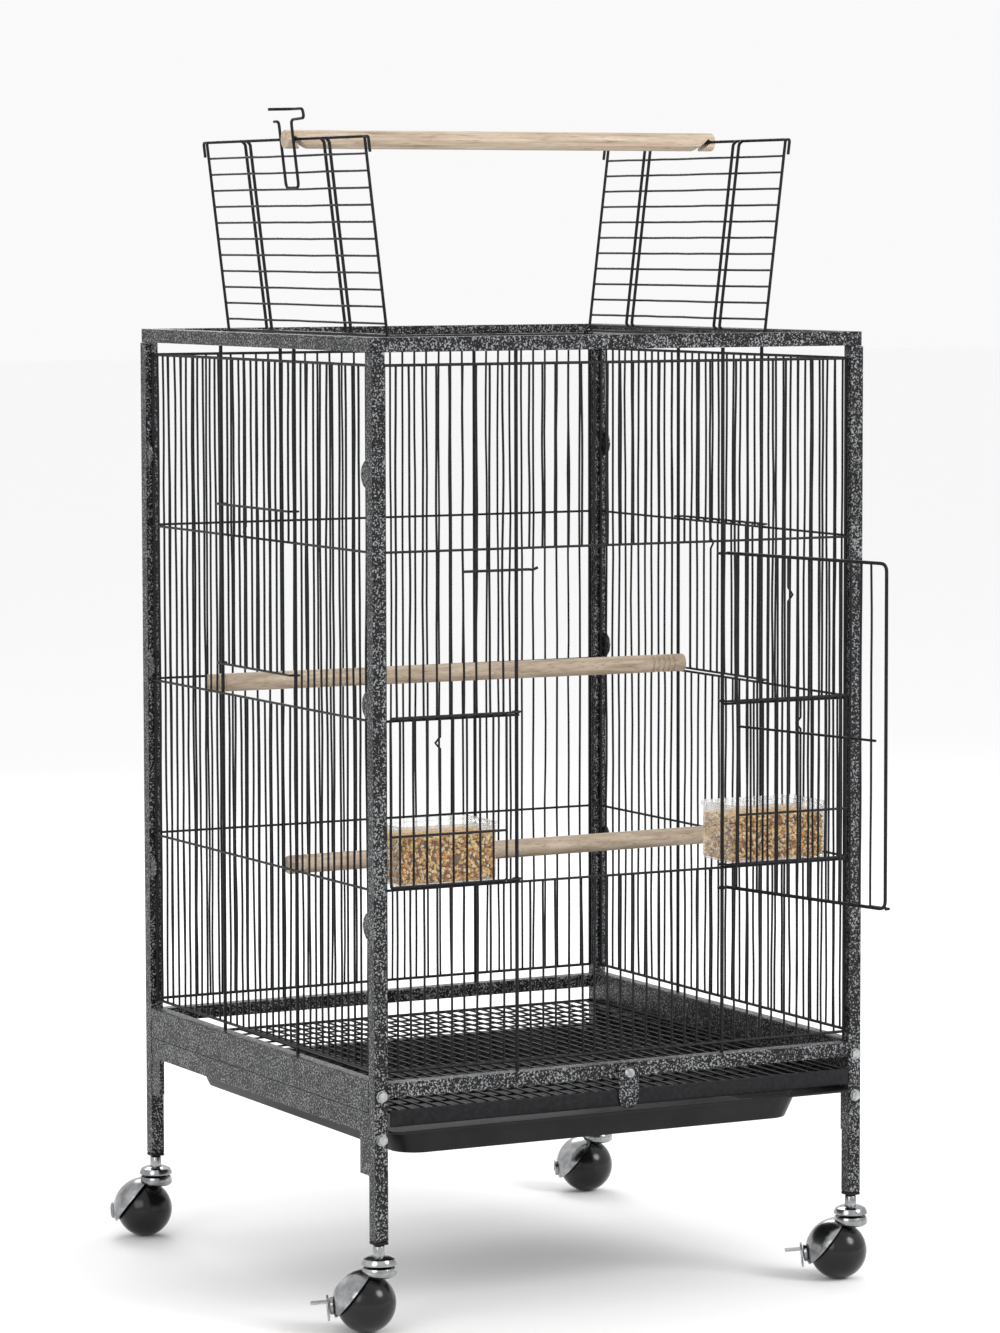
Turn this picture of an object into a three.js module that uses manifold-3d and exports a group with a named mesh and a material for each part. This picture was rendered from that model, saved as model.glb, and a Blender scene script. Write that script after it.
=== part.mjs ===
// A square wire bird cage on legs with ball casters, a play perch on two roof flaps,
// a slide-out grate and a slide-out tray. Millimetres, +Z up, the front faces -Y.
import * as THREE from 'three';
import { mergeVertices } from 'three/addons/utils/BufferGeometryUtils.js';
import Module from 'manifold-3d';

const wasm = await Module();
wasm.setup();

// ---------- driving dimensions ----------
const GAP = 0.3;
const HALF = 235;              // half the square footprint over the posts
const TUBE = 12;               // square tube of posts, roof frame and rails
const TUBE_WALL = 1.2;
const INNER = HALF - TUBE;     // inner face of the posts
const POST_MID = HALF - TUBE / 2;
const LEG_BOTTOM = 77;
const TOP = 824;               // upper face of the roof frame

// wire levels, from the roof down to the floor rails
const H1 = 801;
const H2 = 648;
const H3 = 509;
const H4 = 369;
const H5 = 218;

// wires
const PITCH = (2 * INNER) / 36;
const ANCHOR_D = 3.2;
const FRAME_D = 3;
const BAR_D = 2;
const CROSS_D = 2.2;
const PANEL_Y = -229;          // plane of the upright wires, front panel
const CROSS_Y = PANEL_Y - 2.4; // plane of the cross wires, outside the uprights
const DOOR_Y = -234.6;         // plane of the doors, outside the cross wires
const ANCHOR_FRONT = 8 * PITCH;
const ANCHOR_SIDE = 6 * PITCH;
const EDGE_X = INNER - GAP - FRAME_D / 2;
const EYE_OUT = 8;
const EYE_HOLE = 5;

// bottom rails, guides, grate and tray
const FRONT_RAIL_TOP = 209;
const SIDE_RAIL_TOP = 210.5;
const SIDE_RAIL_H = 27;
const GUIDE_TOP = SIDE_RAIL_TOP - SIDE_RAIL_H - GAP;
const GUIDE_BOTTOM = 165.5;
const SHEET = 1.5;
const PLATE_BOTTOM = 131;
const GRATE_Z = GUIDE_TOP + GAP + FRAME_D / 2;
const TRAY_BOTTOM = 147.4;
const TRAY_RIM_Z = GUIDE_BOTTOM + SHEET + GAP;
const TRAY_RIM_T = 2;
const TRAY = { left: -217, right: 178, front: -241, back: 180, corner: 30, wall: 2 };

// doors
const DOOR_LENGTH = 192;
const DOOR_LOW = 351.3;
const DOOR_HIGH = 637.3;
const DOOR_MID = 490;
const DOOR_OPEN = 103;         // degrees from shut, as the door stands
const DOOR_SET = PANEL_Y - DOOR_Y;
const FEEDER_LIFT = 2.5;       // rest height of a sliding door's wires above the cross wires
const NEST_LEFT_RAISED = 24;

// roof flaps and the play perch
const FLAP_X = 182;            // hinge lines
const FLAP_Z = 819;
const FLAP_HALF = 158;
const FLAP_H = 171;
const FLAP_LEAN = 7;
const ROOF_Z = 815.5;          // plane of the roof panel's wires
const PERCH_R = 8;
const PERCH_Y = -17.5;
const SLIT_ANGLE = 38.9;

// casters
const BALL_R = 25;
const HOOD_R = 29;
const HOOD_IN = 26.6;
const BALL_OFFSET = 10.7;      // from the stem's axis to the ball's centre
const AXLE_DIP = 5;           // degrees
const CAP_LOW = 47;
const HOOD_LOW = 9;
const CASTER_TURN = { front_left: 152, front_right: 152, rear_left: 146, rear_right: 158 };

const D2R = Math.PI / 180;
const cage = new THREE.Group();
cage.name = 'bird_cage';

// ---------- finishes ----------
const finish = (color, roughness, metalness) =>
  new THREE.MeshStandardMaterial({ color, roughness, metalness });
const coat = () => finish(0x2b2c2e, 0.55, 0.4);
const wireCoat = () => finish(0x161718, 0.45, 0.3);
const zinc = () => finish(0xc4c7ca, 0.3, 0.9);
const chrome = () => finish(0xdadcde, 0.12, 1.0);
const blackPlastic = () => finish(0x111214, 0.35, 0.0);
const softPlastic = () => finish(0x141414, 0.6, 0.0);
const clearPlastic = () => finish(0xe3e8ea, 0.1, 0.0);
const wood = () => finish(0xd9b98c, 0.65, 0.0);

// ---------- solids ----------
function solid(geometry) {
  const bare = geometry.clone();
  bare.deleteAttribute('normal');
  bare.deleteAttribute('uv');
  const merged = mergeVertices(bare, 1e-4);
  const vertProperties = new Float32Array(merged.attributes.position.array);
  const triVerts = new Uint32Array(merged.index.array);
  return new wasm.Manifold(new wasm.Mesh({ numProp: 3, vertProperties, triVerts }));
}

function geometryOf(manifold) {
  const mesh = manifold.getMesh();
  const geometry = new THREE.BufferGeometry();
  geometry.setAttribute('position', new THREE.BufferAttribute(mesh.vertProperties, 3));
  geometry.setIndex(new THREE.BufferAttribute(mesh.triVerts, 1));
  return geometry;
}

const joined = (solids) => solids.reduce((whole, piece) => whole.add(piece));

function place(name, body, material, parent = cage) {
  const mesh = new THREE.Mesh(geometryOf(body), material);
  mesh.name = name;
  parent.add(mesh);
  return mesh;
}

function box(x0, x1, y0, y1, z0, z1) {
  const geometry = new THREE.BoxGeometry(x1 - x0, y1 - y0, z1 - z0);
  geometry.translate((x0 + x1) / 2, (y0 + y1) / 2, (z0 + z1) / 2);
  return solid(geometry);
}

// A straight wire or rod between two points; four sides lie square to the frame.
function rod(from, to, diameter, sides = 4) {
  const a = new THREE.Vector3(...from);
  const b = new THREE.Vector3(...to);
  const radius = sides === 4 ? diameter / Math.SQRT2 : diameter / 2;
  const geometry = new THREE.CylinderGeometry(radius, radius, a.distanceTo(b), sides);
  if (sides === 4) geometry.rotateY(Math.PI / 4);
  const along = b.clone().sub(a).normalize();
  const turn = new THREE.Quaternion().setFromUnitVectors(new THREE.Vector3(0, 1, 0), along);
  geometry.applyQuaternion(turn);
  const mid = a.add(b).multiplyScalar(0.5);
  geometry.translate(mid.x, mid.y, mid.z);
  return solid(geometry);
}

// A flat eye that runs on an upright wire at (x, y).
function eye(x, y, z) {
  const out = EYE_OUT / 2;
  const hole = EYE_HOLE / 2;
  const plate = box(x - out, x + out, y - out, y + out, z - CROSS_D / 2, z + CROSS_D / 2);
  return plate.subtract(box(x - hole, x + hole, y - hole, y + hole, z - CROSS_D, z + CROSS_D));
}

// A wire bent along a smooth path.
function bentWire(points, diameter, steps, sides = 6) {
  const path = new THREE.CatmullRomCurve3(points.map((p) => new THREE.Vector3(...p)), false, 'centripetal');
  const section = new THREE.Shape();
  for (let i = 0; i < sides; i += 1) {
    const angle = (i / sides) * 2 * Math.PI;
    const x = (Math.cos(angle) * diameter) / 2;
    const y = (Math.sin(angle) * diameter) / 2;
    if (i === 0) section.moveTo(x, y);
    else section.lineTo(x, y);
  }
  section.closePath();
  return solid(new THREE.ExtrudeGeometry(section, { extrudePath: path, steps, bevelEnabled: false }));
}

function turnedProfile(pairs, segments) {
  const points = pairs.map(([r, z]) => new THREE.Vector2(r, z));
  const geometry = new THREE.LatheGeometry(points, segments);
  geometry.rotateX(Math.PI / 2);
  return solid(geometry);
}

// An outline in plan, raised between two levels.
function raised(shape, z0, z1, curveSegments = 5) {
  const geometry = new THREE.ExtrudeGeometry(shape, { depth: z1 - z0, bevelEnabled: false, curveSegments });
  geometry.translate(0, 0, z0);
  return solid(geometry);
}

function roundedOutline(x0, x1, y0, y1, r) {
  const shape = new THREE.Shape();
  shape.moveTo(x0 + r, y0);
  shape.lineTo(x1 - r, y0);
  shape.absarc(x1 - r, y0 + r, r, -Math.PI / 2, 0, false);
  shape.lineTo(x1, y1 - r);
  shape.absarc(x1 - r, y1 - r, r, 0, Math.PI / 2, false);
  shape.lineTo(x0 + r, y1);
  shape.absarc(x0 + r, y1 - r, r, Math.PI / 2, Math.PI, false);
  shape.lineTo(x0, y0 + r);
  shape.absarc(x0 + r, y0 + r, r, Math.PI, 1.5 * Math.PI, false);
  return shape;
}

// A flat frame with bars across it, in the XY plane: a plate with one window between
// each bar and the next. bars are the bars' middles.
function barFrame(x0, x1, y0, y1, rim, bars, barWidth, thickness) {
  const edges = [x0 + rim - barWidth / 2, ...bars, x1 - rim + barWidth / 2];
  let plate = box(x0, x1, y0, y1, -thickness / 2, thickness / 2);
  for (let i = 1; i < edges.length; i += 1) {
    const left = edges[i - 1] + barWidth / 2;
    const right = edges[i] - barWidth / 2;
    plate = plate.subtract(box(left, right, y0 + rim, y1 - rim, -thickness, thickness));
  }
  return plate;
}

// The same frame standing up in the XZ plane at the depth y.
function standingFrame(x0, x1, z0, z1, y, rim, bars) {
  return barFrame(x0, x1, z0, z1, rim, bars, BAR_D, BAR_D).rotate([90, 0, 0]).translate([0, y, 0]);
}

const pitches = (first, last) => {
  const places = [];
  for (let i = first; i <= last; i += 1) places.push(i * PITCH);
  return places;
};

// Turns a front-panel shape onto one of the four sides.
const SIDE_TURN = { front: 0, right: 90, rear: 180, left: -90 };
const onSide = (body, side) => body.rotate([0, 0, SIDE_TURN[side]]);

// ---------- posts, plugs and roof frame ----------
const POSTS = {
  front_left: [-1, -1],
  front_right: [1, -1],
  rear_left: [-1, 1],
  rear_right: [1, 1],
};
const BOLT_LEVELS = [162.4, 198.6];
const BOLT_D = 5;
const BOLT_HOLE = 5.8;
const TAB_LEVELS = [712, 522, 339];
const TAB_R = 12;
const TAB_T = 1.6;
const PLUG_FLANGE = 2.5;
const STEM_D = 10;
const STEM_TOP_D = 6.4;

// A half-round plate pointing along +Y, its outer face at the given x.
function halfRoundTab(x, z) {
  const disc = rod([x, TUBE / 2 - 1, z], [x - Math.sign(x) * TAB_T, TUBE / 2 - 1, z], 2 * TAB_R, 12);
  return disc.intersect(box(-TUBE, TUBE, TUBE / 2 - 1, 2 * TUBE, z - TUBE, z + TUBE));
}

// The post stands round its own axis, its front face towards -Y.
function post(sx, sy) {
  const h = TUBE / 2;
  const w = h - TUBE_WALL;
  const low = LEG_BOTTOM;
  const high = TOP - TUBE - GAP;
  const outerFace = -sx * sy * (h - 0.6);
  let body = box(-h, h, -h, h, low, high);
  for (const z of TAB_LEVELS) body = body.add(halfRoundTab(outerFace, z));
  body = body.subtract(box(-w, w, -w, w, low - 1, high + 1));
  for (const z of BOLT_LEVELS) body = body.subtract(rod([0, -TUBE, z], [0, h + 1, z], BOLT_HOLE, 6));
  if (sy > 0) body = body.rotate([0, 0, 180]);
  return body.translate([sx * POST_MID, sy * POST_MID, 0]);
}

// A plug closes the foot of the leg and grips the caster's stem.
function legPlug(sx, sy) {
  const h = TUBE / 2;
  const w = h - TUBE_WALL - GAP;
  const flange = box(-h, h, -h, h, LEG_BOTTOM - GAP - PLUG_FLANGE, LEG_BOTTOM - GAP);
  const neck = box(-w, w, -w, w, LEG_BOTTOM - GAP - 1, LEG_BOTTOM + 14);
  const bore = rod([0, 0, LEG_BOTTOM - 9], [0, 0, LEG_BOTTOM + 20], STEM_TOP_D + 0.8, 8);
  return flange.add(neck).subtract(bore).translate([sx * POST_MID, sy * POST_MID, 0]);
}

function legBolt(sx, sy, z) {
  const x = sx * POST_MID;
  const face = sy * (HALF + GAP);
  const head = rod([x, face, z], [x, face + sy * 3.4, z], 9, 6);
  const washer = rod([x, face, z], [x, face + sy * 0.9, z], 10.6, 8);
  const shank = rod([x, face + sy * 1, z], [x, face - sy * 20, z], BOLT_D, 6);
  const nutFace = sy * (INNER - GAP - SHEET - GAP);
  const nut = rod([x, nutFace, z], [x, nutFace - sy * 3.5, z], 7, 6);
  return joined([head, washer, shank, nut]);
}

for (const [corner, [sx, sy]] of Object.entries(POSTS)) {
  place(`post_${corner}`, post(sx, sy), coat());
  place(`leg_plug_${corner}`, legPlug(sx, sy), softPlastic());
  place(`leg_bolt_upper_${corner}`, legBolt(sx, sy, BOLT_LEVELS[1]), zinc());
  place(`leg_bolt_lower_${corner}`, legBolt(sx, sy, BOLT_LEVELS[0]), zinc());
}

function topFrame() {
  const outer = raised(roundedOutline(-HALF, HALF, -HALF, HALF, 4), TOP - TUBE, TOP, 3);
  return outer.subtract(box(-INNER, INNER, -INNER, INNER, TOP - 2 * TUBE, TOP + 1));
}
place('top_frame', topFrame(), coat());

// ---------- bottom rails ----------
function tubeAlongX(x0, x1, yMid, z0, z1) {
  const w = TUBE_WALL;
  const h = TUBE / 2;
  const outer = box(x0, x1, yMid - h, yMid + h, z0, z1);
  return outer.subtract(box(x0 - 1, x1 + 1, yMid - h + w, yMid + h - w, z0 + w, z1 - w));
}

const RETAINER_X = 3;
const RETAINER_SCREW_Z = 200.5;
const RAIL_END = INNER - GAP;
let frontRail = tubeAlongX(-RAIL_END, RAIL_END, -POST_MID, FRONT_RAIL_TOP - TUBE, FRONT_RAIL_TOP);
const screwHole = rod([RETAINER_X, -HALF - 1, RETAINER_SCREW_Z], [RETAINER_X, -HALF + 5, RETAINER_SCREW_Z], 5, 12);
frontRail = frontRail.subtract(screwHole);
place('rail_front', frontRail, coat());
const rearRail = tubeAlongX(-RAIL_END, RAIL_END, POST_MID, FRONT_RAIL_TOP - TUBE, FRONT_RAIL_TOP);
place('rail_rear', rearRail, coat());

// A side rail is a tall tube; the upper leg bolts end inside it.
const sideRail = (side) =>
  onSide(tubeAlongX(-RAIL_END, RAIL_END, -POST_MID, SIDE_RAIL_TOP - SIDE_RAIL_H, SIDE_RAIL_TOP), side);

// A tray guide: one bent strip with a ledge for the grate, a ledge for the tray
// and a foot plate bolted behind each post.
function trayGuide(side) {
  const face = -HALF + 0.5;
  const strip = box(-RAIL_END, RAIL_END, face, face + SHEET, GUIDE_BOTTOM, GUIDE_TOP);
  const upper = box(-RAIL_END, RAIL_END, face, -215, GUIDE_TOP - SHEET, GUIDE_TOP);
  const lower = box(-RAIL_END + 12, RAIL_END - 12, face, -218.5, GUIDE_BOTTOM, GUIDE_BOTTOM + SHEET);
  const pieces = [strip, upper, lower];
  for (const end of [-1, 1]) {
    const x0 = end * RAIL_END;
    const x1 = end * (RAIL_END - SHEET);
    const x2 = end * (RAIL_END - 17);
    const low = Math.min(x0, x2);
    const high = Math.max(x0, x2);
    pieces.push(box(low, high, face, face + SHEET, PLATE_BOTTOM, GUIDE_TOP));
    pieces.push(box(Math.min(x0, x1), Math.max(x0, x1), face, -INNER - GAP, PLATE_BOTTOM, GUIDE_TOP));
  }
  let guide = joined(pieces);
  for (const end of [-1, 1]) {
    const z = BOLT_LEVELS[0];
    const hole = rod([end * (RAIL_END + 1), -POST_MID, z], [end * (RAIL_END - 5), -POST_MID, z], BOLT_HOLE, 6);
    guide = guide.subtract(hole);
  }
  return onSide(guide, side);
}

for (const side of ['left', 'right']) {
  place(`rail_${side}`, sideRail(side), coat());
  place(`tray_guide_${side}`, trayGuide(side), coat());
}

// ---------- wire panels ----------
const crossWire = (x0, x1, z) => rod([x0, CROSS_Y, z], [x1, CROSS_Y, z], CROSS_D);

// The uprights and the rim lie in one plane. Two anchor wires run from the bottom rail
// to the roof frame, and the cross wires pass outside the uprights, welded to the anchors
// and the edge posts. cuts lists the doorways as [low x, high x, low z, high z], and
// broken says where a level's cross wire is cut.
function wirePanel({ anchorAt, railTop, cuts = [], broken = {} }) {
  const rim = FRAME_D;
  const bars = pitches(-17, 17).filter((x) => Math.abs(Math.abs(x) - anchorAt) > 1);
  let body = standingFrame(-RAIL_END, RAIL_END, H5 - rim / 2, H1 + rim / 2, PANEL_Y, rim, bars);
  for (const [x0, x1, z0, z1] of cuts) body = body.subtract(box(x0, x1, PANEL_Y - 3, PANEL_Y + 3, z0, z1));
  const pieces = [body];
  for (const end of [-1, 1]) {
    const x = end * anchorAt;
    pieces.push(rod([x, PANEL_Y, railTop + GAP], [x, PANEL_Y, TOP - TUBE - GAP], ANCHOR_D));
    const x0 = Math.min(end * RAIL_END, end * (RAIL_END - rim));
    pieces.push(box(x0, x0 + rim, CROSS_Y, PANEL_Y, H4 - 2, H2 + 2));
  }
  for (const z of [H2, H3, H4]) {
    const spans = broken[z] ?? [[-RAIL_END + 1, RAIL_END - 1]];
    for (const [x0, x1] of spans) pieces.push(crossWire(x0, x1, z));
  }
  return joined(pieces);
}

// A small hooked wire beside the doorway keeps the shut door in.
function doorKeeper() {
  const y = PANEL_Y - 2;
  const z = 630;
  const x0 = -12 * PITCH;
  const x1 = -ANCHOR_FRONT + 11;
  const bar = rod([x0, y, z], [x1 + 1, y, z], 2.4);
  const hook = rod([x1, y + 1, z], [x1, y - 8, z], 2.2);
  const stub = rod([x0, y + 1, z], [x0, y - 4, z], 2.2);
  return joined([bar, hook, stub]);
}

const SIDE_BAY = [ANCHOR_FRONT + 3, RAIL_END - FRAME_D];
const feederCuts = [
  [-SIDE_BAY[1], -SIDE_BAY[0], H4, H3],
  [SIDE_BAY[0], SIDE_BAY[1], H4, H3],
];
const doorwayCut = [-ANCHOR_FRONT + 3, ANCHOR_FRONT - 3, H4, H2];
const nestCut = [-ANCHOR_SIDE + 3, ANCHOR_SIDE - 3, H3, H2];
const frontPanel = wirePanel({
  anchorAt: ANCHOR_FRONT,
  railTop: FRONT_RAIL_TOP,
  cuts: [...feederCuts, doorwayCut],
  broken: { [H3]: [[-RAIL_END + 1, -ANCHOR_FRONT], [ANCHOR_FRONT, RAIL_END - 1]] },
});
place('panel_front', frontPanel.add(doorKeeper()), wireCoat());
place('panel_rear', onSide(wirePanel({ anchorAt: ANCHOR_FRONT, railTop: FRONT_RAIL_TOP }), 'rear'), wireCoat());
for (const side of ['left', 'right']) {
  const panel = wirePanel({ anchorAt: ANCHOR_SIDE, railTop: SIDE_RAIL_TOP, cuts: [nestCut] });
  place(`panel_${side}`, onSide(panel, side), wireCoat());
}

// The roof panel lies in the roof frame: bars from front to back, cut short at the
// flaps' opening, and a raised hinge wire for each flap.
const ROOF_REACH = FLAP_HALF + 8;
function roofPanel() {
  const thick = FRAME_D;
  const side = FLAP_X + 5;
  let body = barFrame(-RAIL_END, RAIL_END, -RAIL_END, RAIL_END, FRAME_D, pitches(-17, 17), BAR_D, thick);
  body = body.subtract(box(-side, side, -ROOF_REACH, ROOF_REACH, -thick, thick)).translate([0, 0, ROOF_Z]);
  const pieces = [body];
  for (const end of [-1, 1]) {
    const y = end * (ROOF_REACH - 1);
    pieces.push(rod([-side - 1, y, ROOF_Z], [side + 1, y, ROOF_Z], FRAME_D));
    for (const x of [-FLAP_X, FLAP_X]) pieces.push(box(x - 1.5, x + 1.5, y - 1.5, y + 1.5, ROOF_Z, FLAP_Z));
  }
  for (const x of [-FLAP_X, FLAP_X]) {
    pieces.push(rod([x, -ROOF_REACH, FLAP_Z], [x, ROOF_REACH, FLAP_Z], FRAME_D));
  }
  return joined(pieces);
}
place('panel_roof', roofPanel(), wireCoat());

// ---------- main door ----------
// Built shut along -X from its hinge wire, then swung open.
function mainDoor() {
  const y = -DOOR_SET;
  const rim = FRAME_D;
  const low = DOOR_LOW - rim / 2;
  const high = DOOR_HIGH + rim / 2;
  const bars = pitches(-14, -1);
  const open = box(-PITCH + BAR_D / 2, 2, y - 3, y + 3, low + rim, high - rim);
  const pieces = [standingFrame(-DOOR_LENGTH, 1.2, low, high, y, rim, bars).subtract(open)];
  for (const z of [DOOR_LOW, DOOR_HIGH]) {
    pieces.push(eye(0, 0, z));
    pieces.push(box(-1.2, 1.2, y, -EYE_HOLE / 2 - 0.4, z - CROSS_D / 2, z + CROSS_D / 2));
  }
  pieces.push(rod([-PITCH, y - 2.4, DOOR_MID], [-DOOR_LENGTH + 1, y - 2.4, DOOR_MID], CROSS_D));
  pieces.push(box(-PITCH - 1, -PITCH + 1, y - 3.5, y, DOOR_MID - 2, DOOR_MID + 2));
  pieces.push(box(-DOOR_LENGTH, -DOOR_LENGTH + 3, y - 3.5, y, DOOR_MID - 2, DOOR_MID + 2));
  const grip = [-DOOR_LENGTH + 4, -DOOR_LENGTH + 22];
  pieces.push(box(grip[0], grip[1], y - 6, y - 4, DOOR_LOW - 1, DOOR_LOW + 1));
  for (const x of grip) pieces.push(box(x - 1, x + 1, y - 6, y, DOOR_LOW - 1, DOOR_LOW + 1));
  return joined(pieces);
}
const doorGroup = new THREE.Group();
doorGroup.position.set(ANCHOR_FRONT, PANEL_Y, 0);
doorGroup.rotation.z = DOOR_OPEN * D2R;
cage.add(doorGroup);
place('main_door', mainDoor(), wireCoat(), doorGroup);

// ---------- sliding doors ----------
// A feeder door rides on one anchor wire. side is -1 for the left one.
function slideHook(x, z) {
  const link = box(x - 1.2, x + 1.2, DOOR_Y, PANEL_Y - EYE_HOLE / 2 - 0.4, z - CROSS_D / 2, z + CROSS_D / 2);
  return eye(x, PANEL_Y, z).add(link);
}

function feederDoor(side) {
  const z0 = H4 + FEEDER_LIFT;
  const z1 = H3 + FEEDER_LIFT;
  const mid = z0 + 42;
  const inner = side * (ANCHOR_FRONT - 1.2);
  const outer = side * (EDGE_X - 1);
  const ends = [Math.min(inner, outer), Math.max(inner, outer)];
  const bars = side > 0 ? pitches(9, 17) : pitches(-17, -9);
  const rim = CROSS_D;
  const pieces = [standingFrame(ends[0], ends[1], z0 - rim / 2, z1 + rim / 2, DOOR_Y, rim, bars)];
  pieces.push(box(ends[0], ends[1], DOOR_Y - 1, DOOR_Y + 1, mid - 1.5, mid + 1.5));
  for (const z of [z0, z1]) pieces.push(slideHook(side * ANCHOR_FRONT, z));
  return joined(pieces);
}
place('feeder_door_left', feederDoor(-1), wireCoat());
place('feeder_door_right', feederDoor(1), wireCoat());

// A nest door rides on both anchor wires of a side panel.
function nestDoor(raisedBy) {
  const z0 = H3 + FEEDER_LIFT + raisedBy;
  const z1 = z0 + (H2 - H3);
  const reach = ANCHOR_SIDE + 3;
  const rim = CROSS_D;
  const body = standingFrame(-reach, reach, z0 - rim / 2, z1 + rim / 2, DOOR_Y, rim, pitches(-5, 5));
  const pieces = [body];
  for (const z of [z0, z1]) {
    for (const end of [-1, 1]) pieces.push(slideHook(end * ANCHOR_SIDE, z));
  }
  return joined(pieces);
}
place('nest_door_left', onSide(nestDoor(NEST_LEFT_RAISED), 'left'), wireCoat());
place('nest_door_right', onSide(nestDoor(0), 'right'), wireCoat());

// ---------- roof flaps ----------
// Built upright over its hinge line, x = 0; side is -1 for the left flap.
const FLAP_BARS = 11;
const FLAP_STEP = 14.2;
function roofFlap(side) {
  const low = 3.4;
  const bars = [];
  for (let i = FLAP_BARS; i >= 1; i -= 1) bars.push(FLAP_H - i * FLAP_STEP);
  const top = FLAP_H + FRAME_D / 2;
  const frame = barFrame(low, top, -FLAP_HALF, FLAP_HALF, FRAME_D, bars, BAR_D, BAR_D);
  const pieces = [frame.rotate([0, -90, 0])];
  pieces.push(rod([0, -FLAP_HALF - 8, FLAP_H], [0, FLAP_HALF + 8, FLAP_H], 2.6));
  const out = side * -2.95;
  for (const end of [-1, 1]) {
    const tip = end * (FLAP_HALF + 6.6);
    pieces.push(rod([0, tip, FLAP_H], [0, tip, FLAP_H - 13], 2.2));
    pieces.push(eye(0, 0, 0).rotate([90, 0, 0]).translate([0, end * (FLAP_HALF - 1.1), 0]));
    for (const y of [FLAP_HALF / 2 - 5, FLAP_HALF / 2 + 5]) {
      pieces.push(rod([out, end * y, low], [out, end * y, FLAP_H - 1], FRAME_D));
      for (const z of [low + 1, FLAP_H - 2]) {
        pieces.push(box(Math.min(0, out), Math.max(0, out), end * y - 1, end * y + 1, z - 1, z + 1));
      }
    }
  }
  return joined(pieces);
}

// The latch slides on the left flap. Its two legs straddle the end of the perch.
const LATCH_OUT = -4.6;
const LATCH_LEG = 12.4;
const LATCH_LOW = FLAP_H - 41;
function flapLatch() {
  const near = PERCH_Y - LATCH_LEG;
  const far = PERCH_Y + LATCH_LEG;
  const x = LATCH_OUT;
  const points = [
    [x + 0.4, far + 9, FLAP_H + 16],
    [x, far + 3, FLAP_H + 16.5],
    [x, far, FLAP_H + 12],
    [x, far, FLAP_H - 20],
    [x, far, LATCH_LOW + 3],
    [x, far - 3, LATCH_LOW],
    [x, near + 3, LATCH_LOW],
    [x, near, LATCH_LOW + 3],
    [x, near, FLAP_H - 20],
    [x, near, FLAP_H + 12],
    [x, near - 4, FLAP_H + 17],
    [x, near - 22, FLAP_H + 18],
    [x, near - 26, FLAP_H + 22],
    [x, near - 22, FLAP_H + 26],
    [x, near - 4, FLAP_H + 26],
    [x - 8, near - 1, FLAP_H + 27],
    [x - 20, near, FLAP_H + 28],
  ];
  return bentWire(points, 2.6, 36, 5);
}

const flapGroups = {};
for (const [name, side] of [['left', -1], ['right', 1]]) {
  const group = new THREE.Group();
  group.position.set(side * FLAP_X, 0, FLAP_Z);
  group.rotation.y = side * FLAP_LEAN * D2R;
  cage.add(group);
  flapGroups[name] = group;
  place(`roof_flap_${name}`, roofFlap(side), wireCoat(), group);
}
place('flap_latch', flapLatch(), wireCoat(), flapGroups.left);

// ---------- perches ----------
const FLAP_TOP_X = FLAP_X + FLAP_H * Math.sin(FLAP_LEAN * D2R);
const FLAP_TOP_Z = FLAP_Z + FLAP_H * Math.cos(FLAP_LEAN * D2R);

// The play perch is slit at both ends: each slit slants down and inward from the wire
// it sits on to the underside.
function playPerch() {
  const end = FLAP_TOP_X + 7;
  let perch = rod([-end, PERCH_Y, FLAP_TOP_Z], [end, PERCH_Y, FLAP_TOP_Z], 2 * PERCH_R, 12);
  for (const side of [-1, 1]) {
    const cut = new THREE.BoxGeometry(20, 4 * PERCH_R, 4.2);
    cut.translate(10 - 2.1, 0, 0);
    cut.rotateY(SLIT_ANGLE * D2R);
    if (side > 0) cut.rotateZ(Math.PI);
    cut.translate(side * FLAP_TOP_X, PERCH_Y, FLAP_TOP_Z);
    perch = perch.subtract(solid(cut));
  }
  return perch;
}
place('play_perch', playPerch(), wood());

// An inside perch has a groove near each end.
function insidePerch(from, to) {
  const a = new THREE.Vector3(...from);
  const b = new THREE.Vector3(...to);
  const along = b.clone().sub(a).normalize();
  const length = a.distanceTo(b);
  const r = PERCH_R;
  const g = r - 1.4;
  const half = length / 2;
  const profile = [[0, -half], [r - 1, -half], [r, -half + 1]];
  profile.push([r, -half + 10], [g, -half + 10.6], [g, -half + 12.6], [r, -half + 13.2]);
  profile.push([r, half - 13.2], [g, half - 12.6], [g, half - 10.6], [r, half - 10]);
  profile.push([r, half - 1], [r - 1, half], [0, half]);
  const points = profile.map(([x, y]) => new THREE.Vector2(x, y));
  const geometry = new THREE.LatheGeometry(points, 10);
  geometry.applyQuaternion(new THREE.Quaternion().setFromUnitVectors(new THREE.Vector3(0, 1, 0), along));
  const mid = a.add(b).multiplyScalar(0.5);
  geometry.translate(mid.x, mid.y, mid.z);
  return solid(geometry);
}
const PERCH_END = -PANEL_Y - 2.2;
place('perch_upper', insidePerch([-PERCH_END, 112, 514], [PERCH_END, 61, 517.5]), wood());
place('perch_lower', insidePerch([-PERCH_END, -52, 371], [PERCH_END, -6, 367]), wood());

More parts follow.
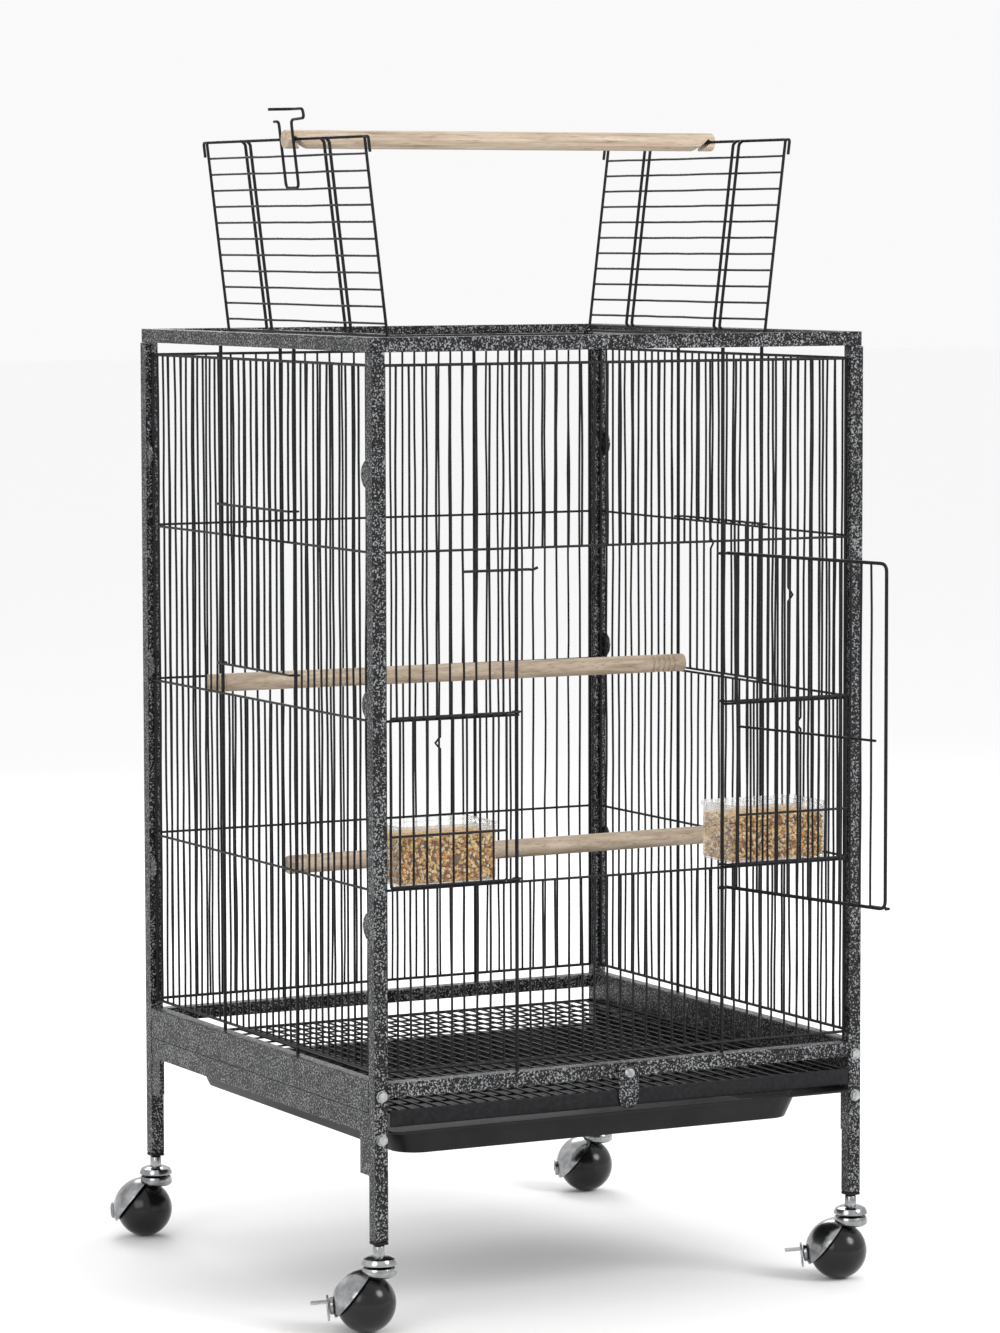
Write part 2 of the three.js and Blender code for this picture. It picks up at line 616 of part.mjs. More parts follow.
// ---------- feed cups ----------
const CUP = { width: 92, depth: 60, height: 50, wall: 1.8, corner: 7 };
function feedCup(xMid) {
  const x0 = xMid - CUP.width / 2;
  const x1 = xMid + CUP.width / 2;
  const y0 = PANEL_Y + 4;
  const y1 = y0 + CUP.depth;
  const z0 = H4 + 0.5;
  const z1 = z0 + CUP.height;
  const w = CUP.wall;
  const outer = raised(roundedOutline(x0, x1, y0, y1, CUP.corner), z0, z1, 3);
  const rim = raised(roundedOutline(x0 - 1.6, x1 + 1.6, y0 - 1.6, y1 + 1.6, CUP.corner + 1.6), z1 - 3, z1, 3);
  const inner = raised(roundedOutline(x0 + w, x1 - w, y0 + w, y1 - w, CUP.corner - w), z0 + w, z1 + 1, 3);
  return outer.add(rim).subtract(inner);
}
const CUP_X = 160;
place('feed_cup_left', feedCup(-CUP_X), clearPlastic());
place('feed_cup_right', feedCup(CUP_X), clearPlastic());

// ---------- grate, retainer and tray ----------
const GRATE_HALF = INNER - 1.5;
const GRATE_BACK = 222;
const LIP_FRONT = -HALF - 1.6;
function grate() {
  const bars = pitches(-17, 17);
  const top = barFrame(-GRATE_HALF, GRATE_HALF, LIP_FRONT, GRATE_BACK, FRAME_D, bars, BAR_D, FRAME_D);
  const lip = box(-GRATE_HALF, GRATE_HALF, LIP_FRONT, LIP_FRONT + SHEET, 172.5, GRATE_Z);
  return top.translate([0, 0, GRATE_Z]).add(lip);
}
place('floor_grate', grate(), wireCoat());

// A plate with a rounded foot hangs on the screw and keeps the grate shut.
function retainerPlate() {
  const half = 9.5;
  const y1 = LIP_FRONT - GAP;
  const shape = new THREE.Shape();
  shape.moveTo(half, 207);
  shape.lineTo(-half, 207);
  shape.lineTo(-half, 170 + half);
  shape.absarc(0, 170 + half, half, Math.PI, 2 * Math.PI, false);
  shape.closePath();
  const geometry = new THREE.ExtrudeGeometry(shape, { depth: SHEET, bevelEnabled: false, curveSegments: 8 });
  geometry.rotateX(Math.PI / 2);
  geometry.translate(RETAINER_X, y1, 0);
  const hole = rod([RETAINER_X, y1 - 5, RETAINER_SCREW_Z], [RETAINER_X, y1 + 5, RETAINER_SCREW_Z], 4.6, 12);
  return solid(geometry).subtract(hole);
}
place('retainer_plate', retainerPlate(), coat());

function retainerScrew() {
  const face = LIP_FRONT - 2 * GAP - SHEET;
  const x = RETAINER_X;
  const z = RETAINER_SCREW_Z;
  const head = turnedProfile([[0, 0], [5, 0], [5, 1.4], [3.6, 3.4], [0, 4.2]], 14).rotate([90, 0, 0]);
  const shank = rod([x, face - 1, z], [x, face + 6, z], 3.8, 10);
  return head.translate([x, face, z]).add(shank);
}
place('retainer_screw', retainerScrew(), zinc());

function tray() {
  const t = TRAY;
  const rimLow = TRAY_RIM_Z;
  const rimHigh = TRAY_RIM_Z + TRAY_RIM_T;
  const rimX = INNER - 0.8;
  const tub = raised(roundedOutline(t.left, t.right, t.front, t.back, t.corner), TRAY_BOTTOM, rimHigh, 5);
  const rim = raised(roundedOutline(-rimX, rimX, t.front - 3, t.back + 12, 6), rimLow, rimHigh, 3);
  const inside = raised(
    roundedOutline(t.left + t.wall, t.right - t.wall, t.front + t.wall, t.back - t.wall, t.corner - t.wall),
    TRAY_BOTTOM + t.wall,
    rimHigh + 1,
    5,
  );
  return tub.add(rim).subtract(inside);
}
place('droppings_tray', tray(), blackPlastic());

// ---------- casters ----------
// Built round the stem's axis with the axle towards +X, then turned.
const AXLE_D = 5;
function ball(radius, around = 16, along = 10) {
  const geometry = new THREE.SphereGeometry(radius, around, along);
  geometry.rotateZ(Math.PI / 2);
  return solid(geometry);
}

function casterStem() {
  const stem = turnedProfile([[0, 62.5], [STEM_D / 2, 62.5], [STEM_D / 2, 73.2], [STEM_TOP_D / 2, 74], [STEM_TOP_D / 2, 90], [0, 90]], 8);
  const dish = turnedProfile([[0, 59], [13, 59], [14.8, 57.2], [14.8, 60], [12, 63.4], [8, 64.4], [0, 64.4]], 12);
  return stem.add(dish);
}

function casterHood() {
  const centre = [BALL_OFFSET, 0, BALL_R];
  const outer = ball(HOOD_R, 12, 8).translate(centre);
  const inner = ball(HOOD_IN, 12, 8).translate(centre);
  const ring = turnedProfile([[0, CAP_LOW], [12.5, CAP_LOW], [14.6, 49.5], [14.6, 53], [12.5, 56.2], [0, 56.2]], 12);
  const boss = rod([0, 0, 0], [4, 0, 0], 15, 10).translate([HOOD_R - 2.5, 0, 0]).rotate([0, AXLE_DIP, 0]).translate(centre);
  const shell = outer.add(boss);
  const tilt = 25;
  const halfSpace = new THREE.BoxGeometry(80, 80, 80);
  halfSpace.translate(40 + 2, 0, 0);
  halfSpace.rotateY(-tilt * D2R);
  halfSpace.translate(...centre);
  const aboveFoot = box(-80, 80, -80, 80, HOOD_LOW, 200);
  const cover = shell.intersect(solid(halfSpace)).intersect(aboveFoot);
  const axle = rod([4, 0, 0], [HOOD_R, 0, 0], AXLE_D, 8).rotate([0, AXLE_DIP, 0]).translate(centre);
  return cover.add(ring).subtract(inner).add(axle);
}

function casterBall() {
  const bore = rod([3, 0, 0], [BALL_R + 5, 0, 0], AXLE_D + 1, 8);
  return ball(BALL_R).subtract(bore).rotate([0, AXLE_DIP, 0]).translate([BALL_OFFSET, 0, BALL_R]);
}

// The brake lever is a cup over the boss with a tab for the toe.
function brakeLever() {
  const plate = rod([0, 0, 0], [1.6, 0, 0], 19, 12);
  const tab = box(0, 15, -4.5, 4.5, 3, 4.6);
  const stop = box(0, 1.6, -7.5, 7.5, -11, 0);
  const lever = joined([plate, tab, stop]).translate([HOOD_R + 1.5 + GAP * 2, 0, 0]);
  return lever.rotate([0, AXLE_DIP, 0]).translate([BALL_OFFSET, 0, BALL_R]);
}

for (const [corner, [sx, sy]] of Object.entries(POSTS)) {
  const caster = new THREE.Group();
  caster.position.set(sx * POST_MID, sy * POST_MID, 0);
  caster.rotation.z = CASTER_TURN[corner] * D2R;
  cage.add(caster);
  place(`caster_stem_${corner}`, casterStem(), chrome(), caster);
  place(`caster_hood_${corner}`, casterHood(), zinc(), caster);
  place(`caster_ball_${corner}`, casterBall(), blackPlastic(), caster);
  if (sy < 0) place(`brake_lever_${corner}`, brakeLever(), zinc(), caster);
}

// ---------- origin ----------
// The middle of the whole box in plan, on the floor.
cage.updateMatrixWorld(true);
const extent = new THREE.Box3().setFromObject(cage, true);
cage.position.set(-(extent.min.x + extent.max.x) / 2, -(extent.min.y + extent.max.y) / 2, -extent.min.z);

export default cage;
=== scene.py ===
# %% [markdown]
# # A wire bird cage on a stand
# The cage is a square frame of steel tube, closed with panels of thin wire, standing on
# ball casters. The moving model is loaded first and gives every size and place. This
# lesson then swaps its plain wires and castings for detailed ones and adds the finishes.

# %% Load the moving model
import math
import bmesh
import bpy
from mathutils import Matrix, Vector


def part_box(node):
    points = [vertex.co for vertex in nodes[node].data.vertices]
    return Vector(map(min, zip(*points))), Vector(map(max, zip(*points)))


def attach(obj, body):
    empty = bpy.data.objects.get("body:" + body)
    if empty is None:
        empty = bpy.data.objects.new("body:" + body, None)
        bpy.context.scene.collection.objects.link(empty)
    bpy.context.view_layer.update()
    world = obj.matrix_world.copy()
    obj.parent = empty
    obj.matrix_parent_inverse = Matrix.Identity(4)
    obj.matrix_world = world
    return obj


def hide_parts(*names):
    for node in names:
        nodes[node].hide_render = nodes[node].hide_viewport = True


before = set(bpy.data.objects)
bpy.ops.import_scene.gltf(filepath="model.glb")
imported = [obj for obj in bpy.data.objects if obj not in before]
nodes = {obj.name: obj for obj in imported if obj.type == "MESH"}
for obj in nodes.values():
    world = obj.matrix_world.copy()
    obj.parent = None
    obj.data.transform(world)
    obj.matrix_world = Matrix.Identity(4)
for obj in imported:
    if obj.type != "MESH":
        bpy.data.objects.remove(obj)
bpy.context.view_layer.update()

roof_low, roof_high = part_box("top_frame")
CENTRE = Vector(((roof_low[0] + roof_high[0]) / 2, (roof_low[1] + roof_high[1]) / 2, roof_high[2] - 0.824))
print("nodes", len(nodes), "cage centre", [round(v, 4) for v in CENTRE])

# %% [markdown]
# ## Cage sizes
# Shop drawings of a cage are in millimetres from the cage's middle. The same numbers are
# kept here, and one matrix carries finished meshes into the scene in metres.

# %% Sizes in millimetres
PITCH = 446 / 36
H1, H2, H3, H4, H5 = 801, 648, 509, 369, 218
PANEL, CROSS, DOOR = -229.0, -231.4, -234.6
EDGE = 221.2
ANCHOR_FRONT, ANCHOR_SIDE = 8 * PITCH, 6 * PITCH
ANCHOR_TOP = 811.7
TO_SCENE = Matrix.Translation(CENTRE) @ Matrix.Scale(0.001, 4)
print("bar pitch", round(PITCH, 2), "mm")

# %% [markdown]
# ## Powder coat with a hammered vein
# The tubes are black powder coat in which silver flakes gather in small islands. Two
# noises make it: a fine one gives the islands and a broad one varies how dense they are.
# The same pattern lifts the surface a little, which breaks the highlights up.

# %% Shader helpers
def new_finish(name):
    finish = bpy.data.materials.new(name)
    finish.use_nodes = True
    tree = finish.node_tree
    return finish, tree, tree.nodes["Principled BSDF"]


def add_node(tree, kind, values=(), **settings):
    node = tree.nodes.new(kind)
    for key, value in settings.items():
        setattr(node, key, value)
    for key, value in dict(values).items():
        node.inputs[key].default_value = value
    return node


def noise(tree, coordinates, scale, detail=3.0, rough=0.55):
    node = add_node(tree, "ShaderNodeTexNoise", {"Scale": scale, "Detail": detail, "Roughness": rough})
    tree.links.new(coordinates, node.inputs["Vector"])
    return node.outputs["Fac"]


def ramp(tree, value, stops):
    node = tree.nodes.new("ShaderNodeValToRGB")
    bands = node.color_ramp.elements
    while len(bands) < len(stops):
        bands.new(0.5)
    for band, (place, color) in zip(bands, stops):
        band.position = place
        band.color = (*color, 1.0)
    tree.links.new(value, node.inputs["Fac"])
    return node.outputs["Color"]


def bump(tree, shader, height, depth, strength=1.0):
    node = add_node(tree, "ShaderNodeBump", {"Distance": depth, "Strength": strength})
    tree.links.new(height, node.inputs["Height"])
    tree.links.new(node.outputs["Normal"], shader.inputs["Normal"])


def place_of(tree):
    return tree.nodes.new("ShaderNodeTexCoord").outputs["Object"]

# %% Hammered coat
def hammered_coat():
    finish, tree, shader = new_finish("hammered_coat")
    at = place_of(tree)
    islands = noise(tree, at, 620.0, 2.0, 0.6)
    drift = noise(tree, at, 60.0, 2.0)
    mix = add_node(tree, "ShaderNodeMath", {1: 0.16}, operation="MULTIPLY_ADD")
    tree.links.new(drift, mix.inputs[0])
    tree.links.new(islands, mix.inputs[2])
    grey = ramp(tree, mix.outputs[0], [(0.56, (0.005, 0.005, 0.006)), (0.62, (0.018, 0.018, 0.020)),
                                       (0.70, (0.26, 0.265, 0.27))])
    tree.links.new(grey, shader.inputs["Base Color"])
    rough = ramp(tree, mix.outputs[0], [(0.5, (0.42, 0.42, 0.42)), (0.7, (0.3, 0.3, 0.3))])
    tree.links.new(rough, shader.inputs["Roughness"])
    shader.inputs["Metallic"].default_value = 0.1
    shader.inputs["Specular IOR Level"].default_value = 0.22
    bump(tree, shader, islands, 0.00018, 0.7)
    return finish

HAMMERED = hammered_coat()
print("made", HAMMERED.name)

# %% [markdown]
# ## Wire coat, zinc and chrome
# The wires carry the same black in a thin coat, so only a faint mottle shows. Zinc plate
# is bright and softly clouded; chrome is smoother with light handling marks.

# %% Metal finishes
def metal(name, dark, light, rough, metallic, scale, grain_depth, shine=0.5):
    finish, tree, shader = new_finish(name)
    at = place_of(tree)
    cloud = noise(tree, at, scale, 4.0)
    tree.links.new(ramp(tree, cloud, [(0.3, dark), (0.7, light)]), shader.inputs["Base Color"])
    low, high = rough
    marks = noise(tree, at, scale * 3.0, 3.0)
    rough_map = ramp(tree, marks, [(0.3, (low, low, low)), (0.7, (high, high, high))])
    tree.links.new(rough_map, shader.inputs["Roughness"])
    shader.inputs["Metallic"].default_value = metallic
    shader.inputs["Specular IOR Level"].default_value = shine
    bump(tree, shader, marks, grain_depth, 0.5)
    return finish

WIRE_COAT = metal("wire_coat", (0.004, 0.004, 0.005), (0.014, 0.014, 0.016),
                  (0.3, 0.5), 0.0, 260.0, 0.00006, 0.16)
ZINC = metal("zinc_plate", (0.24, 0.245, 0.25), (0.48, 0.485, 0.49), (0.22, 0.4), 1.0, 260.0, 0.00008)
CHROME = metal("caster_chrome", (0.15, 0.155, 0.16), (0.46, 0.465, 0.47), (0.12, 0.26), 1.0, 70.0, 0.00005)
print("made", WIRE_COAT.name, ZINC.name, CHROME.name)

# %% [markdown]
# ## Plastics
# The tray and balls are black moulded plastic: a fine texture in the gloss, no more. The
# cups are clear, slightly cool, and scuffed, so their roughness is mottled.

# %% Plastic finishes
def moulded(name, color, rough, scale, depth, spread=0.1, shine=0.2):
    finish, tree, shader = new_finish(name)
    at = place_of(tree)
    cloud = noise(tree, at, 35.0, 3.0)
    lifted = tuple(min(1.0, c * 1.5 + 0.004) for c in color)
    tree.links.new(ramp(tree, cloud, [(0.3, color), (0.75, lifted)]), shader.inputs["Base Color"])
    grain = noise(tree, at, scale, 2.0)
    rough_map = ramp(tree, grain, [(0.3, (rough,) * 3), (0.7, (rough + spread,) * 3)])
    tree.links.new(rough_map, shader.inputs["Roughness"])
    shader.inputs["Specular IOR Level"].default_value = shine
    bump(tree, shader, grain, depth, 0.5)
    return finish, shader

TRAY_BLACK = moulded("tray_plastic", (0.004, 0.004, 0.004), 0.3, 900.0, 0.00006)[0]
BALL_BLACK = moulded("ball_plastic", (0.003, 0.003, 0.003), 0.14, 500.0, 0.00002, shine=0.35)[0]
PLUG_BLACK = moulded("plug_plastic", (0.004, 0.004, 0.004), 0.5, 900.0, 0.00006)[0]
CUP_CLEAR, cup_shader = moulded("cup_plastic", (0.80, 0.82, 0.83), 0.06, 120.0, 0.00003, 0.14, 0.5)
cup_shader.inputs["Transmission Weight"].default_value = 0.94
cup_shader.inputs["IOR"].default_value = 1.2
cup_shader.inputs["Alpha"].default_value = 0.5
print("made", TRAY_BLACK.name, BALL_BLACK.name, PLUG_BLACK.name, CUP_CLEAR.name)

# %% [markdown]
# ## Dowel wood
# The perches are bare dowels with the grain running along them, left to right. The
# pattern is squeezed across the dowel and stretched along it, so it draws long streaks,
# and a few fine dark pores are laid over them.

# %% Wood finish
def dowel_wood():
    finish, tree, shader = new_finish("dowel_wood")
    stretch = add_node(tree, "ShaderNodeMapping", {"Scale": (0.05, 1.0, 1.0)})
    tree.links.new(place_of(tree), stretch.inputs["Vector"])
    along = stretch.outputs["Vector"]
    streak = noise(tree, along, 240.0, 5.0, 0.6)
    pore = noise(tree, along, 1300.0, 2.0)
    tone = ramp(tree, streak, [(0.25, (0.27, 0.195, 0.135)), (0.5, (0.43, 0.34, 0.25)),
                               (0.75, (0.60, 0.50, 0.39))])
    speck = ramp(tree, pore, [(0.32, (0.62, 0.55, 0.5)), (0.42, (1.0, 1.0, 1.0))])
    blend = add_node(tree, "ShaderNodeMix", {0: 1.0}, data_type="RGBA", blend_type="MULTIPLY")
    tree.links.new(tone, blend.inputs[6])
    tree.links.new(speck, blend.inputs[7])
    tree.links.new(blend.outputs[2], shader.inputs["Base Color"])
    shader.inputs["Roughness"].default_value = 0.62
    bump(tree, shader, streak, 0.00012, 0.5)
    return finish

WOOD = dowel_wood()
print("made", WOOD.name)

# %% [markdown]
# ## Growing rows of bars
# A panel is a row of equal wires at one pitch, welded to cross wires. Geometry Nodes suit
# this: a line of points, one wire on each, a slow noise that bends each wire a little as
# drawn wire does, and a round section swept along it.

# %% Bar row node tree
def link(tree, source, target):
    tree.links.new(source, target)


def bar_row_tree():
    tree = bpy.data.node_groups.new("bar_row", "GeometryNodeTree")
    sockets = [("Count", "Int"), ("First", "Vector"), ("Step", "Vector"), ("Rise", "Vector"),
               ("Radius", "Float"), ("Waver", "Float"), ("Seed", "Float")]
    tree.interface.new_socket("Geometry", in_out="INPUT", socket_type="NodeSocketGeometry")
    for name, kind in sockets:
        tree.interface.new_socket(name, in_out="INPUT", socket_type="NodeSocket" + kind)
    tree.interface.new_socket("Geometry", in_out="OUTPUT", socket_type="NodeSocketGeometry")
    given = tree.nodes.new("NodeGroupInput").outputs
    line = add_node(tree, "GeometryNodeMeshLine", mode="OFFSET")
    link(tree, given["Count"], line.inputs["Count"])
    link(tree, given["First"], line.inputs["Start Location"])
    link(tree, given["Step"], line.inputs["Offset"])
    stroke = tree.nodes.new("GeometryNodeCurvePrimitiveLine")
    link(tree, given["Rise"], stroke.inputs["End"])
    dense = add_node(tree, "GeometryNodeResampleCurve", {"Count": 16})
    link(tree, stroke.outputs["Curve"], dense.inputs["Curve"])
    spread = tree.nodes.new("GeometryNodeInstanceOnPoints")
    link(tree, line.outputs["Mesh"], spread.inputs["Points"])
    link(tree, dense.outputs["Curve"], spread.inputs["Instance"])
    loose = tree.nodes.new("GeometryNodeRealizeInstances")
    link(tree, spread.outputs["Instances"], loose.inputs["Geometry"])
    position = tree.nodes.new("GeometryNodeInputPosition")
    squeeze = add_node(tree, "ShaderNodeVectorMath", {1: (70.0, 70.0, 9.0)}, operation="MULTIPLY")
    link(tree, position.outputs["Position"], squeeze.inputs[0])
    sway = add_node(tree, "ShaderNodeTexNoise", {"Scale": 1.0, "Detail": 1.0}, noise_dimensions="4D")
    link(tree, squeeze.outputs["Vector"], sway.inputs["Vector"])
    link(tree, given["Seed"], sway.inputs["W"])
    centred = add_node(tree, "ShaderNodeVectorMath", {1: (0.5, 0.5, 0.5)}, operation="SUBTRACT")
    link(tree, sway.outputs["Color"], centred.inputs[0])
    amount = add_node(tree, "ShaderNodeVectorMath", operation="SCALE")
    link(tree, centred.outputs["Vector"], amount.inputs[0])
    link(tree, given["Waver"], amount.inputs["Scale"])
    bent = tree.nodes.new("GeometryNodeSetPosition")
    link(tree, loose.outputs["Geometry"], bent.inputs["Geometry"])
    link(tree, amount.outputs["Vector"], bent.inputs["Offset"])
    section = add_node(tree, "GeometryNodeCurvePrimitiveCircle", {"Resolution": 8})
    link(tree, given["Radius"], section.inputs["Radius"])
    swept = add_node(tree, "GeometryNodeCurveToMesh", {"Fill Caps": True})
    link(tree, bent.outputs["Geometry"], swept.inputs["Curve"])
    link(tree, section.outputs["Curve"], swept.inputs["Profile Curve"])
    finish_tree(tree, swept.outputs["Mesh"], WIRE_COAT)
    return tree


def finish_tree(tree, mesh_socket, material):
    solid = tree.nodes.new("GeometryNodeRealizeInstances")
    paint = add_node(tree, "GeometryNodeSetMaterial", {"Material": material})
    out = tree.nodes.new("NodeGroupOutput")
    link(tree, mesh_socket, solid.inputs["Geometry"])
    link(tree, solid.outputs["Geometry"], paint.inputs["Geometry"])
    link(tree, paint.outputs["Geometry"], out.inputs["Geometry"])

BAR_ROW = bar_row_tree()
print("bar row tree has", len(BAR_ROW.nodes), "nodes")

# %% Turn a tree into a plain mesh
def plain_mesh(host):
    bpy.context.scene.collection.objects.link(host)
    graph = bpy.context.evaluated_depsgraph_get()
    mesh = bpy.data.meshes.new_from_object(host.evaluated_get(graph), depsgraph=graph)
    return mesh


def grown(tree, settings):
    host = bpy.data.objects.new("grower", bpy.data.meshes.new("grower"))
    modifier = host.modifiers.new("grow", "NODES")
    modifier.node_group = tree
    for item in tree.interface.items_tree:
        if item.in_out == "INPUT" and item.name in settings:
            modifier[item.identifier] = settings[item.name]
    mesh = plain_mesh(host)
    host.modifiers.remove(modifier)
    bpy.data.objects.remove(host)
    return mesh

seed = [0.0]


def bars(count, first, step, rise, thick=2.0, waver=3.2):
    seed[0] += 1.7
    to_m = lambda v: tuple(c / 1000 for c in v)
    mesh = grown(BAR_ROW, {"Count": count, "First": to_m(first), "Step": to_m(step), "Rise": to_m(rise),
                           "Radius": thick / 2000, "Waver": waver / 1000, "Seed": seed[0]})
    mesh.transform(Matrix.Scale(1000, 4))
    return mesh

print("one bar has", len(bars(1, (0, 0, 0), (1, 0, 0), (0, 0, 500)).polygons), "faces")

# %% [markdown]
# ## Single bent wires
# Rims, hooks and the latch are single wires with soft bends. A curve with a round bevel
# is the quickest way: the corners of a short list of points are rounded first.

# %% Bent wire helpers
def bend(points, radius, steps=5):
    path = [Vector(points[0])]
    for before, corner, after in zip(points, points[1:], points[2:]):
        corner = Vector(corner)
        inward, outward = Vector(before) - corner, Vector(after) - corner
        reach = min(radius, inward.length * 0.45, outward.length * 0.45)
        start, end = corner + inward.normalized() * reach, corner + outward.normalized() * reach
        for i in range(steps + 1):
            t = i / steps
            path.append(start * (1 - t) ** 2 + corner * 2 * t * (1 - t) + end * t ** 2)
    path.append(Vector(points[-1]))
    return path


def wire(points, thick, closed=False):
    curve = bpy.data.curves.new("wire", "CURVE")
    curve.dimensions = "3D"
    curve.bevel_depth = thick / 2
    curve.bevel_resolution = 3
    curve.use_fill_caps = True
    spline = curve.splines.new("POLY")
    spline.points.add(len(points) - 1)
    for target, point in zip(spline.points, points):
        target.co = (*point, 1.0)
    spline.use_cyclic_u = closed
    host = bpy.data.objects.new("wire", curve)
    mesh = plain_mesh(host)
    bpy.data.objects.remove(host)
    return mesh


def ring(x, y, z, radius, thick, upright=False):
    turns = [2 * math.pi * i / 20 for i in range(20)]
    if upright:
        points = [(x + radius * math.cos(a), y, z + radius * math.sin(a)) for a in turns]
    else:
        points = [(x + radius * math.cos(a), y + radius * math.sin(a), z) for a in turns]
    return wire(points, thick, closed=True)

print("a ring has", len(ring(0, 0, 0, 3.2, 2.2).polygons), "faces")

# %% Join meshes into one piece
def joined(meshes):
    together = bmesh.new()
    for mesh in meshes:
        together.from_mesh(mesh)
    whole = bpy.data.meshes.new("joined")
    together.to_mesh(whole)
    together.free()
    return whole


def piece(name, meshes, body, material, stands_for, turn=None, smooth=50):
    mesh = joined(meshes)
    mesh.transform(TO_SCENE @ (turn or Matrix.Identity(4)))
    mesh.materials.clear()
    mesh.materials.append(material)
    mesh.shade_smooth()
    mesh.set_sharp_from_angle(angle=math.radians(smooth))
    obj = bpy.data.objects.new(name, mesh)
    bpy.context.scene.collection.objects.link(obj)
    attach(obj, body)
    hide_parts(*stands_for)
    print(name, len(mesh.polygons), "faces")
    return obj

# %% [markdown]
# ## Wire panels
# Each side is a row of uprights between a top and a bottom rim, three cross wires just
# outside them, and two thicker wires from rail to roof that the sliding doors run on.
# Uprights stop at a doorway, so each bay is its own set of rows.

# %% Rows of uprights
def upright_rows(first, last, spans, skip=()):
    places = [i for i in range(first, last + 1) if i not in skip]
    groups = []
    for i in places:
        if groups and groups[-1][-1] == i - 1:
            groups[-1].append(i)
        else:
            groups.append([i])
    meshes = []
    for low, high in spans:
        for group in groups:
            start = (group[0] * PITCH, PANEL, low)
            meshes.append(bars(len(group), start, (PITCH, 0, 0), (0, 0, high - low)))
    return meshes


def panel_skeleton(anchor, rail_top, open_middle=False):
    meshes = []
    for z in (H1, H5):
        meshes.append(wire([(-EDGE, PANEL, z), (EDGE, PANEL, z)], 2.6))
    for side in (-1, 1):
        meshes.append(wire([(side * EDGE, PANEL, H5), (side * EDGE, PANEL, H1)], 2.8))
        meshes.append(wire([(side * anchor, PANEL, rail_top), (side * anchor, PANEL, ANCHOR_TOP)], 3.2))
    for z in (H2, H3, H4):
        if z == H3 and open_middle:
            for side in (-1, 1):
                meshes.append(wire([(side * EDGE, CROSS, z), (side * (anchor - 1), CROSS, z)], 2.2))
        else:
            meshes.append(wire([(-EDGE, CROSS, z), (EDGE, CROSS, z)], 2.2))
    return meshes

# %% Front panel
front = panel_skeleton(ANCHOR_FRONT, 209.3, open_middle=True)
for first, last in ((-17, -9), (9, 17)):
    front += upright_rows(first, last, [(H5, H4), (H3, H1)])
front += upright_rows(-7, 7, [(H5, H4), (H2, H1)])
keeper = [(-150, CROSS, 630), (-88.1, CROSS, 630), (-88.1, -237, 630), (-84, -239, 632)]
front.append(wire(bend(keeper, 2), 2.4))
piece("front_wires", front, "cage_frame", WIRE_COAT, ["panel_front"])

# %% Rear and side panels
def about_z(degrees):
    return Matrix.Rotation(math.radians(degrees), 4, "Z")

rear = panel_skeleton(ANCHOR_FRONT, 209.3) + upright_rows(-17, 17, [(H5, H1)], skip=(-8, 8))
piece("rear_wires", rear, "cage_frame", WIRE_COAT, ["panel_rear"], about_z(180))
for name, turn in (("left", -90), ("right", 90)):
    side = panel_skeleton(ANCHOR_SIDE, 210.8)
    for first, last in ((-17, -7), (7, 17)):
        side += upright_rows(first, last, [(H5, H1)])
    side += upright_rows(-5, 5, [(H5, H3), (H2, H1)])
    piece(f"{name}_wires", side, "cage_frame", WIRE_COAT, [f"panel_{name}"], about_z(turn))

# %% Roof panel
ROOF, REACH, FLAP_X, FLAP_Z = 815.5, 165.0, 182.0, 819.0
roof = [wire([(x, -EDGE, ROOF), (x, EDGE, ROOF)], 2.6) for x in (-EDGE, EDGE)]
roof += [wire([(-EDGE, y, ROOF), (EDGE, y, ROOF)], 2.6) for y in (-EDGE, EDGE)]
for start in (-17, 16):
    roof.append(bars(2, (start * PITCH, -EDGE, ROOF), (PITCH, 0, 0), (0, 2 * EDGE, 0), waver=0.8))
for y in (-EDGE, REACH):
    roof.append(bars(31, (-15 * PITCH, y, ROOF), (PITCH, 0, 0), (0, EDGE - REACH, 0), waver=0.8))
for end in (-1, 1):
    roof.append(wire([(-188, end * REACH, ROOF), (188, end * REACH, ROOF)], 3.0))
    x = end * FLAP_X
    hinge = [(x, -REACH, ROOF), (x, -REACH, FLAP_Z), (x, REACH, FLAP_Z), (x, REACH, ROOF)]
    roof.append(wire(bend(hinge, 1.5), 3.0))
piece("roof_wires", roof, "cage_frame", WIRE_COAT, ["panel_roof"])

# %% [markdown]
# ## Doors
# A door is a rim with bars and round eyes that run on an anchor wire. One bar in each
# door has a small V-shaped crimp. The main door is drawn shut and then swung about its
# hinge wire.

# %% Door parts
def crimped(x, y, low, high, at, size=5.0):
    path = [(x, y, low), (x, y, at - size), (x - size * 0.9, y, at), (x, y, at + size), (x, y, high)]
    return wire(path, 2.0)


def slide_eye(x, z, rim):
    arm = bend([(x, PANEL - 3.2, z), (x, DOOR, z), (rim, DOOR, z)], 2)
    return [ring(x, PANEL, z, 3.2, 1.8), wire(arm, 2.0)]


def sliding_door(left, right, low, high, bar_places, eyes, crimp_at):
    meshes = [wire(bend([(left, DOOR, low), (right, DOOR, low), (right, DOOR, high), (left, DOOR, high),
                         (left, DOOR, low)], 2.5), 2.2)]
    for i in bar_places:
        if i == crimp_at:
            meshes.append(crimped(i * PITCH, DOOR, low, high, high - 22))
        else:
            meshes.append(bars(1, (i * PITCH, DOOR, low), (1, 0, 0), (0, 0, high - low), waver=2))
    for x in eyes:
        for z in (low, high):
            meshes += slide_eye(x, z, left if abs(left - x) < abs(right - x) else right)
    return meshes

